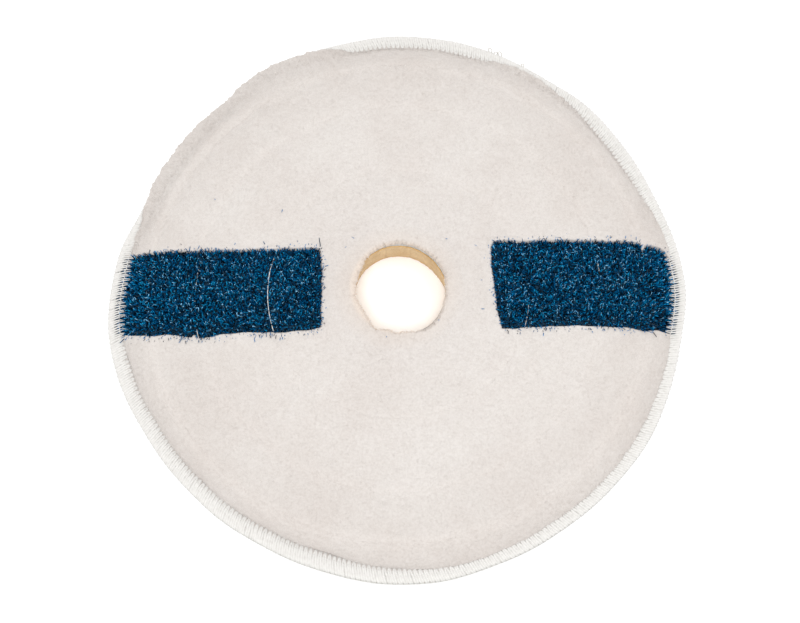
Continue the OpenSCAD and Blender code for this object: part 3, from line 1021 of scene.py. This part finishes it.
def bristle_set(obname, name, seed, gap, part):
    """Crimped bristles standing in the strip's cloth, each a three-sided tapering rod of five rings."""
    s = STRIPS[name]
    rs = np.random.RandomState(seed)
    u, v = np.meshgrid(np.arange(s["inner"] - 2, R, gap), np.arange(-s["w"] / 2 - 3, s["w"] / 2 + 4, gap), indexing="ij")
    u = u + part * gap / 2 + rs.uniform(-0.5, 0.5, u.shape) * gap
    v = v + part * gap / 2 + rs.uniform(-0.5, 0.5, v.shape) * gap
    u, v = u.ravel(), v.ravel()
    x, y = from_strip(name, u, v)
    r = np.hypot(x, y)
    depth = strip_depth(name, x, y)
    bare = 0.25 if name == "left" else 0.55
    ok = (depth > bare) & (r < SEAM - 4.4) & ((depth > 1.4) | (rs.rand(len(x)) < 0.75))
    u, v, x, y, r, depth = u[ok], v[ok], x[ok], y[ok], r[ok], depth[ok]
    n = len(x)
    slope = (height(S_STRIP, TOP_FLAT, r + 0.5) - height(S_STRIP, TOP_FLAT, r - 0.5))
    out = np.stack([x / r, y / r], -1)
    N = np.stack([-slope * out[:, 0], -slope * out[:, 1], np.ones(n)], -1)
    N /= np.linalg.norm(N, axis=1, keepdims=True)
    root = np.stack([x, y, height(S_STRIP, TOP_FLAT, r) - 0.25], -1)
    # leans at random, and outwards along the edges
    e = 0.6
    gx = strip_depth(name, x + e, y) - strip_depth(name, x - e, y)
    gy = strip_depth(name, x, y + e) - strip_depth(name, x, y - e)
    away = -np.stack([gx, gy, 0 * gx], -1) / (2 * e)
    splay = np.exp(-np.clip(depth - SELVEDGE, 0, None) / 1.5)
    near = np.clip(-away[:, 1], 0, 1) * (0.8 if name == "left" else 0.5)
    lean = rs.normal(0, 0.5, (n, 3)) + away * ((0.6 + near) * splay)[:, None]
    lean[:, 2] *= 0.3
    D = N + lean
    D /= np.linalg.norm(D, axis=1, keepdims=True)
    A = np.cross(D, rs.normal(0, 1, (n, 3)))
    A /= np.linalg.norm(A, axis=1, keepdims=True)
    B = np.cross(D, A)
    tall = (Z_BRISTLE - S_STRIP[0] + 0.25) * rs.uniform(0.80, 1.14, n)
    # the quilting thread presses them down
    press = np.ones(n)
    for k in range(3):
        d = ring_distance(k, x, y)
        hard = (0.60, 0.12, 0.04)[k] if name == "left" else (0.15, 0.05, 0.03)[k]
        press = press * (1 - hard * np.exp(-((d / 1.2) ** 2)))
    tall = tall * press
    L = tall * np.sqrt(1 + (lean[:, 0] ** 2 + lean[:, 1] ** 2) * 0.5)
    turns = rs.uniform(0.5, 1.1, n)
    phase = rs.uniform(0, 2 * np.pi, n)
    amp = rs.uniform(0.08, 0.38, n)
    w = rs.uniform(0.27, 0.39, n)
    rings = (0.0, 0.3, 0.55, 0.8, 1.0)
    centre = []
    for sfrac in rings + (1.06,):
        a = phase + 2 * np.pi * turns * sfrac
        k = (amp * min(1, sfrac * 1.8))[:, None]
        centre.append(root + D * (L * sfrac)[:, None] + k * (np.cos(a)[:, None] * A + np.sin(a)[:, None] * B))
    pick = rs.choice(5, n, p=SHARES)
    pick = np.where(splay > 0.45, np.minimum(pick, 2), pick)  # no painted-highlight tones on the bristles splayed past the edge
    tone = BLUES_WITH_PAINTED_GLINTS[pick] * rs.uniform(0.85, 1.15, (n, 1))
    V, C = [], []
    for k, (c, sfrac) in enumerate(zip(centre[:5], rings)):
        thick = (w * (1.0 - 0.25 * sfrac))[:, None]
        # painted shade: darker towards the root, where the bristles shade each other
        painted_root_shade = 0.03 + 0.97 * sfrac ** 2.0
        for t in (0, 2.0944, 4.1888):
            V.append(c + thick * (math.cos(t) * A + math.sin(t) * B))
            C.append(tone * painted_root_shade)
    # painted highlight: the tip a little lighter
    V.append(centre[5])
    C.append(tone * 1.15)
    V = np.stack(V, 1).reshape(-1, 3)
    C = np.stack(C, 1).reshape(-1, 3)
    k = np.arange(n) * 16
    Q, T = [], []
    for ring in (0, 3, 6, 9):
        for t in range(3):
            t1 = (t + 1) % 3
            Q.append(np.stack([k + ring + t, k + ring + t1, k + ring + 3 + t1, k + ring + 3 + t], -1))
    for t in range(3):
        T.append(np.stack([k + 12 + t, k + 12 + (t + 1) % 3, k + 15], -1))
    T.append(np.stack([k + 2, k + 1, k], -1))
    return mesh_object(obname, bend(V), [np.concatenate(Q), np.concatenate(T)], M_BRISTLE, False, C)


# shed bristles lying on the pile
SHED = {
    "left": [(-71.8, -8.4), (-39.4, 31.8), (-33.5, 39.0), (-8.9, -38.6), (-88.0, 62.0), (-140.0, 71.0)],
    "right": [(65.1, 25.1), (64.4, 22.6), (62.4, 5.3), (61.9, -17.5), (57.7, 33.2), (29.9, -26.0), (36.7, 38.1)],
}


def caught_bristles(obname, name, seed, count):
    """Bristles caught under the rim's threads, which show between them, and a few shed ones."""
    s = STRIPS[name]
    rs = np.random.RandomState(seed)
    v = rs.uniform(-s["w"] / 2 + 3, s["w"] / 2 - 3, count)
    u1 = np.full(count, R)
    for _ in range(30):
        x, y = from_strip(name, u1, v)
        u1 = u1 - (np.hypot(x, y) - (SEAM - 4.6))
    lo, hi = strip_edges(name, u1)
    ok = (v > lo + 2.5) & (v < hi - 2.5)
    x, y, v = x[ok], y[ok], v[ok]
    n = len(x)
    r = np.hypot(x, y)
    out = np.stack([x / r, y / r, 0 * x], -1)
    p = np.stack([x, y, np.full(n, Z_BAND + 0.75)], -1) + out * rs.uniform(-0.5, 5.5, (n, 1))
    d = out + rs.normal(0, 0.25, (n, 3))
    d[:, 2] = rs.uniform(0.0, 0.4, n)
    tone = BLUES_WITH_PAINTED_GLINTS[rs.choice(3, n)] * 0.9
    shed = np.array(SHED[name])
    z = np.full(len(shed), Z_PILE + 0.35)
    p = np.concatenate([p, np.stack([shed[:, 0], shed[:, 1], z], -1)])
    flat = rs.normal(0, 1, (len(shed), 3))
    flat[:, 2] = 0
    d = np.concatenate([d, flat])
    tone = np.concatenate([tone, np.tile(BLUES_WITH_PAINTED_GLINTS[2], (len(shed), 1))])
    ob = strands(obname, p, d, rs, (1.4, 3.2), 0.26, 0.2, M_BRISTLE, tone)
    co = np.zeros(len(ob.data.vertices) * 3)
    ob.data.vertices.foreach_get("co", co)
    ob.data.vertices.foreach_set("co", (bend(co.reshape(-1, 3) * 1000) * 0.001).astype(np.float32).ravel())
    ob.data.update()
    return ob


cloths, bristles = {}, {}
for i, name in enumerate(("left", "right")):
    cloths[name] = strip_cloth(name)
    bristles[name] = [
        bristle_set(name + "_bristles_a", name, 51 + i, 1.5, 0),
        bristle_set(name + "_bristles_b", name, 61 + i, 1.5, 1),
        caught_bristles(name + "_bristles_in_seam", name, 71 + i, 260),
    ]

# ---------------------------------------------------------------- sewing on the strips


def strip_stitching(name, tail=False):
    """A line of stitches round the strip's bare edge."""
    s = STRIPS[name]
    inset = 0.9
    v = np.linspace(s["w"] / 2 - inset, -s["w"] / 2 + inset, 200)
    u_in = strip_start(name, v) + inset
    u_line = np.arange(s["inner"] + 4, R, 0.45)
    lo, hi = strip_edges(name, u_line)
    pts = []
    x1, y1 = from_strip(name, u_line[::-1], np.minimum(hi, hi[0] + 1.5)[::-1] - inset)
    x2, y2 = from_strip(name, u_in, v)
    x3, y3 = from_strip(name, u_line, lo + inset)
    x = np.concatenate([x1, x2[4:-4], x3])
    y = np.concatenate([y1, y2[4:-4], y3])
    r = np.hypot(x, y)
    ok = r < SEAM - 1.0
    x, y, r = x[ok], y[ok], r[ok]
    dist = np.concatenate([[0], np.cumsum(np.hypot(np.diff(x), np.diff(y)))])
    z = height(S_STRIP, TOP_FLAT, r) + 0.28 + 0.3 * np.cos(2 * np.pi * dist / 3.6)
    path = bend(np.stack([x, y, z], -1))
    V, F = tube_mesh(path, 0.3, 6, closed=False, twist=0.5, star=0.8)
    if tail:  # the cut end of the sewing thread stands up from the strip's inner corner
        cx, cy = from_strip(name, s["inner"] + 0.6, s["w"] / 2 - 3.6)
        t = np.linspace(0, 1, 26)[:, None]
        start = np.array([cx, cy, S_STRIP[0] + 0.3])
        bend_to = np.array([0.6, 2.0, 6.0]) * t + np.array([-0.4, 5.0, 1.2]) * t ** 2
        wobble = np.concatenate([0.5 * np.sin(5 * t), 0.2 * np.sin(8 * t + 1) - 0.17, 0 * t], 1)
        V2, F2 = tube_mesh(start + bend_to + wobble * t, 0.38, 6, closed=False, twist=0.5, star=0.8)
        F = F + [f + len(V) for f in F2]
        V = np.concatenate([V, V2])
    return mesh_object(name + "_strip_seam_thread", V, F, M_BLUETHREAD)


seams = {"left": strip_stitching("left", tail=True), "right": strip_stitching("right")}

# ---------------------------------------------------------------- quilting threads


# how high the quilting thread lies in the bristles, along y
SHOWN = {
    ("left", 0): ([-34, -28, -24, 15, 19, 26], [0.2, 1.4, 2.4, 2.4, 1.2, -0.4]),
    ("left", 1): ([-36, -33, -31, -20, 0, 10, 14, 30], [2.2, 2.2, -0.9, -0.4, -0.1, -0.3, 0.2, -0.9]),
    ("left", 2): ([-30, 0, 30], [-1.0, -0.6, -1.0]),
    ("right", 0): ([-34, -30, -27, -17, -13, 0, 30], [-0.6, 0.6, 1.3, 1.1, -0.4, -1.0, -1.0]),
    ("right", 1): ([-34, -20, 10, 13, 18, 21, 36], [-0.2, -1.0, -1.0, 1.4, 1.4, -1.0, -1.0]),
    ("right", 2): ([-34, 0, 30], [-1.0, -1.0, -1.0]),
}


def quilt_ring(k, obname, face):
    r = RINGS[k]
    stitch = 4.6
    count = int(round(2 * math.pi * r / stitch))
    per = 8
    m = count * per
    th = np.arange(m) * 2 * np.pi / m
    x, y = r * np.cos(th), r * np.sin(th) + RING_Y
    wave = 0.5 + 0.5 * np.cos(2 * np.pi * np.arange(m) / per)
    if face:
        z = Z_PILE - 0.1 - valleys(x, y) + nap(x, y) - 0.65 - 0.9 * wave
        rr = np.hypot(x, y)
        z = z - (Z_PILE - 0.1 - roll_z(rr))
        on_left, on_right = strip_depth("left", x, y), strip_depth("right", x, y)
        for depth, side in ((on_left, "left"), (on_right, "right")):
            rise = np.interp(y, *SHOWN[side, k])
            t = step((depth + 0.5) / 2.5)
            up = height(S_STRIP, TOP_FLAT, rr) + 0.6 + rise - 0.8 * wave + 0.5 * sample(N_MID, x, y)
            z = z * (1 - t) + up * t
    else:
        z = 0.40 + 0.30 * wave
    path = bend(np.stack([x, y, z], -1))
    return tube(obname, path, 0.33 if face else 0.3, 6, M_QUILT, twist=0.5, star=0.78)


quilt = [quilt_ring(k, "quilting_stitches_" + n, True) for k, n in enumerate(("inner", "middle", "outer"))]
bobbin = [quilt_ring(k, "bobbin_stitches_" + n, False) for k, n in enumerate(("inner", "middle", "outer"))]

# ---------------------------------------------------------------- overlocked rim

STITCHES = 360
FLAT_U, WRAP = 7.2, 8.2     # width of the band's flat face, and the way round its edge


def band_point(a, u, h, top=True):
    """a in stitches round the rim, u in millimetres out from the needle line, h off the cloth."""
    th = a * 2 * np.pi / STITCHES
    phi = np.clip((u - FLAT_U) / WRAP, 0, 1) * np.pi
    r = SEAM + np.minimum(u, FLAT_U) + (0.35 + h) * np.sin(phi)
    half = (Z_BAND - SEAM_LO) / 2
    z = Z_MID + (half + h) * np.cos(phi)
    if not top:
        z = 2 * Z_MID - z
    return np.stack([r * np.cos(th), r * np.sin(th), z], -1)


def zigzag(key, seed, top):
    """A looper thread: out across the band, round its edge and back, once a stitch."""
    rs = np.random.RandomState(seed)
    K = len(key)
    a = (np.arange(STITCHES)[:, None] + np.array([k[0] for k in key])[None, :]).ravel()
    u = np.tile([k[1] for k in key], STITCHES)
    h = np.tile([k[2] for k in key], STITCHES)
    thick = np.tile([k[3] for k in key], STITCHES)
    soft = rs.normal(0, 1, STITCHES)
    jit = np.repeat(soft, K)
    a = a + 0.05 * jit * np.sin(np.pi * np.clip(u, 0, 9) / 9) + rs.normal(0, 0.012, len(a))
    deg = a / STITCHES * 360 % 360
    over_strip = window(deg, 170.5, 189.5, 0.8) + window((deg + 90) % 360, 79.5, 97.5, 0.8)
    u = u + np.where(u < 0.6, 0.25 * np.repeat(rs.normal(0, 1, STITCHES), K), 0)
    if top:
        u = u + at(REACH, deg) * np.clip(1 - u / 3.5, 0, 1)
        u = u - np.clip(1.6 - u, 0, 2.2) * over_strip
        thin = over_strip * step((5.6 - u) / 2.4)
        thick = thick * (1 - 0.5 * thin)
        h = h + 0.45 * thin
    h = h + rs.normal(0, 0.03, len(h))
    a = a + 0.085 * np.clip(u, 0, 9.5)  # the ribs lean a little
    return bend(band_point(a, u, h, top)), thick


UPPER = [
    (0.00, -2.00, 0.95, 0.66), (0.12, -1.6, 0.92, 0.72), (0.20, 0.5, 0.50, 0.92), (0.235, 2.6, 0.22, 1.20), (0.245, 4.6, 0.08, 1.32),
    (0.25, 6.4, 0.06, 1.28), (0.27, 7.9, 0.10, 1.10), (0.35, 9.2, 0.2, 0.84), (0.50, 9.9, 0.4, 0.74), (0.65, 9.2, 0.2, 0.84),
    (0.73, 7.9, 0.10, 1.10), (0.75, 6.4, 0.06, 1.28), (0.755, 4.6, 0.08, 1.32), (0.765, 2.6, 0.22, 1.20), (0.80, 0.5, 0.50, 0.92),
    (0.88, -1.6, 0.92, 0.72),
]
LOWER = [
    (0.00, -0.55, 0.50, 0.62), (0.13, -0.1, 0.52, 0.70), (0.20, 1.2, 0.42, 0.92), (0.23, 3.0, 0.20, 1.20), (0.24, 5.0, 0.10, 1.28),
    (0.25, 7.2, 0.10, 1.24), (0.27, 9.4, 0.15, 1.05), (0.34, 12.1, 0.25, 0.80), (0.50, 13.6, 0.80, 0.72), (0.66, 12.1, 0.25, 0.80),
    (0.73, 9.4, 0.15, 1.05), (0.75, 7.2, 0.10, 1.24), (0.76, 5.0, 0.10, 1.28), (0.77, 3.0, 0.20, 1.20), (0.80, 1.2, 0.42, 0.92),
    (0.87, -0.1, 0.52, 0.70),
]


def needle_line(u0, seed, top, h0=0.95, dip=0.55):
    rs = np.random.RandomState(seed)
    per = 8
    m = STITCHES * per
    a = np.arange(m) / per
    w = np.cos(2 * np.pi * a)
    u = u0 + 0.42 * np.sin(2 * np.pi * a) + np.repeat(rs.normal(0, 0.13, STITCHES), per)
    h = h0 + dip * w - 0.2
    return bend(band_point(a + 0.085 * max(u0, 0), u, h, top))


def two_sided(obname, u0, seed, radius, h0, dip):
    V, F = [], []
    off = 0
    for top in (True, False):
        v, f = tube_mesh(needle_line(u0, seed + top, top, h0, dip), radius, 6, twist=0.12, star=0.85)
        V.append(v)
        F += [x + off for x in f]
        off += len(v)
    return mesh_object(obname, np.concatenate(V), F, M_THREAD)


upper = tube("rim_upper_looper", *zigzag(UPPER, 81, True), 8, M_THREAD)
lower = tube("rim_lower_looper", *zigzag(LOWER, 82, False), 8, M_PURL_SHADED)
needle_1 = two_sided("rim_inner_needle_line", 0.0, 83, 0.45, 1.25, 0.3)
needle_2 = two_sided("rim_outer_needle_line", NEEDLE_2 - SEAM, 85, 0.36, 1.2, 0.32)


def loose_loops():
    """A few ends of the rim's thread that came loose on the far side."""
    V, F = [], []
    off = 0
    for deg, size, lean in ((69.9, 3.6, 0.5), (68.9, 2.6, -0.4), (67.6, 3.8, 0.7), (62.2, 2.8, 0.6)):
        t = np.linspace(0, 1, 18)
        a = deg / 360 * STITCHES + (size * 0.45 * np.sin(2 * np.pi * t) * 0.25 + lean * np.sin(np.pi * t) * 0.6)
        u = 9.4 + 1.2 * t
        P = band_point(a, u, 0.5 + size * np.sin(np.pi * t) ** 1.2)
        v, f = tube_mesh(bend(P), 0.3, 6, closed=False, twist=0.2, star=0.85)
        V.append(v)
        F += [x + off for x in f]
        off += len(v)
    return mesh_object("rim_loose_loops", np.concatenate(V), F, M_LOOSE_SHADED)


loose = loose_loops()

# ---------------------------------------------------------------- every piece onto the body, and the frame's parts they stand for hidden

everything = (
    [p[0] for p in pile] + fibres + [face_ground, back_ground, foam, back_loops]
    + [cloths[n] for n in cloths] + [b for n in bristles for b in bristles[n]] + [seams[n] for n in seams]
    + quilt + bobbin + [upper, lower, needle_1, needle_2, loose]
)
for ob in everything:
    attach(ob, "root")

for ob in [p[0] for p in pile] + fibres[:4]:
    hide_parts("face_pile")
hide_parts("face_ground")
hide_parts("back_ground")
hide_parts("foam_core")
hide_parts("back_loops")
for n in ("left", "right"):
    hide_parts(n + "_strip_ground")
    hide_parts(n + "_strip_stitching")
    for b in bristles[n]:
        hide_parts(n + "_strip_bristles")
for k, n in enumerate(("inner", "middle", "outer")):
    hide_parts("quilt_thread_" + n)
    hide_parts("bobbin_thread_" + n)
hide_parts("overlock_inner_needle_thread")
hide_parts("overlock_outer_needle_thread")
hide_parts("overlock_upper_looper")
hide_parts("overlock_upper_looper")
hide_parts("overlock_lower_looper")

# ---------------------------------------------------------------- floor, light and camera


def floor_material():
    m, nt, p = new_material("pale_floor")
    co = object_co(nt)
    f = noise_node(nt, co, 3.0, 2, 0.5)
    nt.links.new(ramp(nt, f, [(0.3, (0.965, 0.965, 0.965)), (0.7, (0.98, 0.98, 0.98))]), p.inputs["Base Color"])
    p.inputs["Roughness"].default_value = 0.9
    p.inputs["Specular IOR Level"].default_value = 0.1
    return m


me = bpy.data.meshes.new("floor")
me.from_pydata([(-4, -4, 0), (4, -4, 0), (4, 4, 0), (-4, 4, 0)], [], [(0, 1, 2, 3)])
floor = bpy.data.objects.new("floor", me)
floor.location.z = -0.0002
me.materials.append(floor_material())
bpy.context.scene.collection.objects.link(floor)

world = bpy.data.worlds.new("studio")
bpy.context.scene.world = world
world.use_nodes = True
bg = world.node_tree.nodes["Background"]
bg.inputs["Color"].default_value = (1.0, 1.0, 1.0, 1)
bg.inputs["Strength"].default_value = 1.08


def area(name, place, size, power, colour=(1, 1, 1), aim=(0, 0, 0)):
    d = bpy.data.lights.new(name, "AREA")
    d.shape = "DISK"
    d.size = size
    d.energy = power
    d.color = colour
    ob = bpy.data.objects.new(name, d)
    ob.location = place
    ob.rotation_euler = (Vector(aim) - Vector(place)).to_track_quat("-Z", "Y").to_euler()
    bpy.context.scene.collection.objects.link(ob)
    return ob


area("soft_key", (-0.2, -0.9, 2.1), 1.3, 22)
area("soft_fill", (1.2, 0.7, 1.8), 1.2, 7)

cam = bpy.data.cameras.new("camera")
cam.lens = 62.75
cam.sensor_width = 36
cam.clip_start = 0.01
camera = bpy.data.objects.new("camera", cam)
bpy.context.scene.collection.objects.link(camera)
el = math.radians(71.58)
far = 1.0653
camera.location = (0.0, -far * math.cos(el), far * math.sin(el))
aim = Vector((0.0011, -0.0107, 0.0))
camera.rotation_euler = (aim - camera.location).to_track_quat("-Z", "Y").to_euler()
bpy.context.scene.camera = camera
bpy.context.scene.view_settings.view_transform = "Standard"
